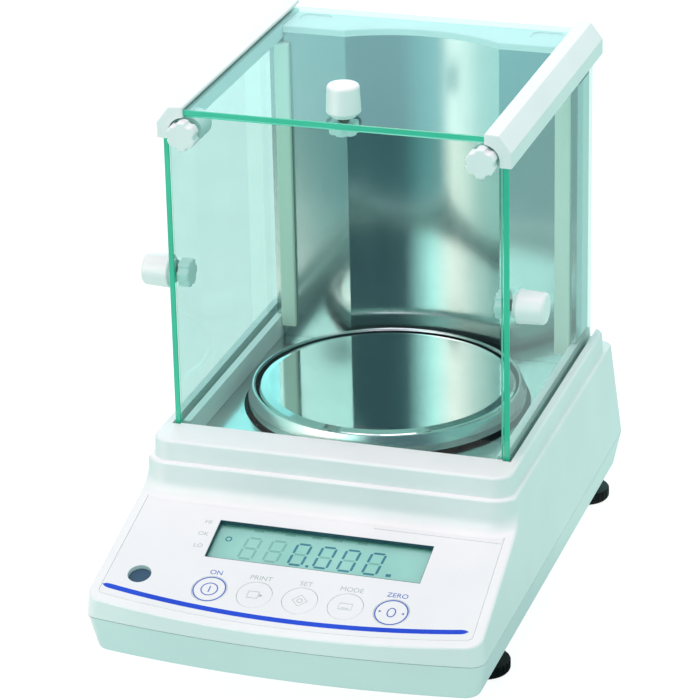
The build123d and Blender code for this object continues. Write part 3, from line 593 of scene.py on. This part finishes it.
def area_light(name, at, towards, size, power, colour):
    """Square soft light."""
    data = bpy.data.lights.new(name, "AREA")
    data.size = size
    data.energy = power
    data.color = colour
    light = bpy.data.objects.new(name, data)
    light.location = at
    light.rotation_euler = (Vector(towards) - Vector(at)).to_track_quat("-Z", "Y").to_euler()
    bpy.context.scene.collection.objects.link(light)
    return light


def studio_floor():
    """Plain white floor that throws no light on the object standing on it."""
    shader = Shader("studio_floor")
    surface = shader.principled(COLOURS["floor"], (0.6, 0.8), 40.0)
    bpy.ops.mesh.primitive_plane_add(size=FLOOR_SIZE)
    floor = bpy.context.object
    floor.name = "studio_floor"
    floor.data.materials.append(shader.finish(surface))
    principled = next(n for n in shader.nodes if n.type == "BSDF_PRINCIPLED")
    principled.inputs["Emission Color"].default_value = (1, 1, 1, 1)
    principled.inputs["Emission Strength"].default_value = FLOOR_EMISSION
    floor.visible_diffuse = False


def glow(name, stops):
    """Glow whose colour is set by the bearing from the card's origin."""
    shader = Shader(name)
    split = shader.nodes.new("ShaderNodeSeparateXYZ")
    shader.join(shader.coords.outputs["Object"], split.inputs["Vector"])
    forward = shader.maths("MULTIPLY", split.outputs["Y"], -1.0)
    turn = shader.nodes.new("ShaderNodeMapRange")
    turn.inputs["From Min"].default_value = -pi
    turn.inputs["From Max"].default_value = pi
    shader.join(shader.maths("ARCTAN2", split.outputs["X"], forward), turn.inputs["Value"])
    ramp = shader.nodes.new("ShaderNodeValToRGB")
    elements = ramp.color_ramp.elements
    while len(elements) < len(stops):
        elements.new(0.5)
    for element, (degrees, colour) in zip(elements, stops):
        element.position = (degrees + 180.0) / 360.0
        element.color = (*colour, 1)
    shader.join(turn.outputs["Result"], ramp.inputs["Fac"])
    emission = shader.nodes.new("ShaderNodeEmission")
    emission.inputs["Strength"].default_value = REFLECTOR_STRENGTH
    shader.join(ramp.outputs["Color"], emission.inputs["Color"])
    return shader.finish(emission.outputs["Emission"])


def reflector(name, vertices, faces, stops):
    """Glowing card that only shiny surfaces see."""
    mesh = bpy.data.meshes.new(name)
    mesh.from_pydata(vertices, [], faces)
    mesh.materials.append(glow(name, stops))
    card = bpy.data.objects.new(name, mesh)
    card.location = (0, REFLECTOR_Y, 0)
    bpy.context.scene.collection.objects.link(card)
    card.visible_camera = False
    card.visible_diffuse = False
    card.visible_shadow = False
    card.visible_transmission = False


def reflectors():
    """Ring of cards round the balance, and one lying on the floor inside it."""
    steps = 48
    ring = [(REFLECTOR_R * cos(2 * pi * i / steps), REFLECTOR_R * sin(2 * pi * i / steps))
            for i in range(steps)]
    wall = [(x, y, z) for z in (0.0, REFLECTOR_H) for x, y in ring]
    sides = [[i, (i + 1) % steps, steps + (i + 1) % steps, steps + i] for i in range(steps)]
    reflector("wall_cards", wall, sides, WALL_GLOW)
    half = REFLECTOR_R * 0.99
    corners = [(x * half, y * half, FLOOR_CARD_Z) for x, y in ((-1, -1), (1, -1), (1, 1), (-1, 1))]
    reflector("floor_card", corners, [[0, 1, 2, 3]], FLOOR_GLOW)


def world():
    """Even pale light with a green cast."""
    sky = bpy.data.worlds.new("studio")
    sky.use_nodes = True
    background = sky.node_tree.nodes["Background"]
    background.inputs["Color"].default_value = (*SKY_COLOUR, 1)
    background.inputs["Strength"].default_value = 1.0
    bpy.context.scene.world = sky


def camera():
    """Camera at the photograph's viewing angle."""
    data = bpy.data.cameras.new("camera")
    data.sensor_width = SENSOR_MM
    data.lens = CAMERA_FOCAL_PX / FRAME_PX * SENSOR_MM
    data.clip_end = 90.0
    eye = bpy.data.objects.new("camera", data)
    bpy.context.scene.collection.objects.link(eye)
    az, el = CAMERA_AZIMUTH, CAMERA_ELEVATION
    ahead = Vector((-sin(az) * cos(el), cos(az) * cos(el), -sin(el)))
    level_right = Vector((cos(az), sin(az), 0))
    level_up = level_right.cross(ahead)
    right = cos(CAMERA_ROLL) * level_right + sin(CAMERA_ROLL) * level_up
    up = cos(CAMERA_ROLL) * level_up - sin(CAMERA_ROLL) * level_right
    turn = Matrix((right, up, -ahead)).transposed()
    eye.matrix_world = Matrix.Translation(CAMERA_AT) @ turn.to_4x4()
    bpy.context.scene.camera = eye


made = materials()
dress(made)
stripe(made["blue"])
blue_key_marks(made["label"])
grey_key_marks(made["grey"])
panel_lines(made["grey"], made["label"])
display_shade_band(made["recess_shade"])
level_shade_disc(made["level"])
digits(made["segment"], made["ghost"])
display_marks(made["segment"], made["ghost"])
studio_floor()
reflectors()
world()
area_light("top_light", LIGHT_AT, (0, 0, 0.1), LIGHT_SIZE, LIGHT_POWER, LIGHT_COLOUR)
camera()
bpy.context.scene.view_settings.view_transform = "Standard"
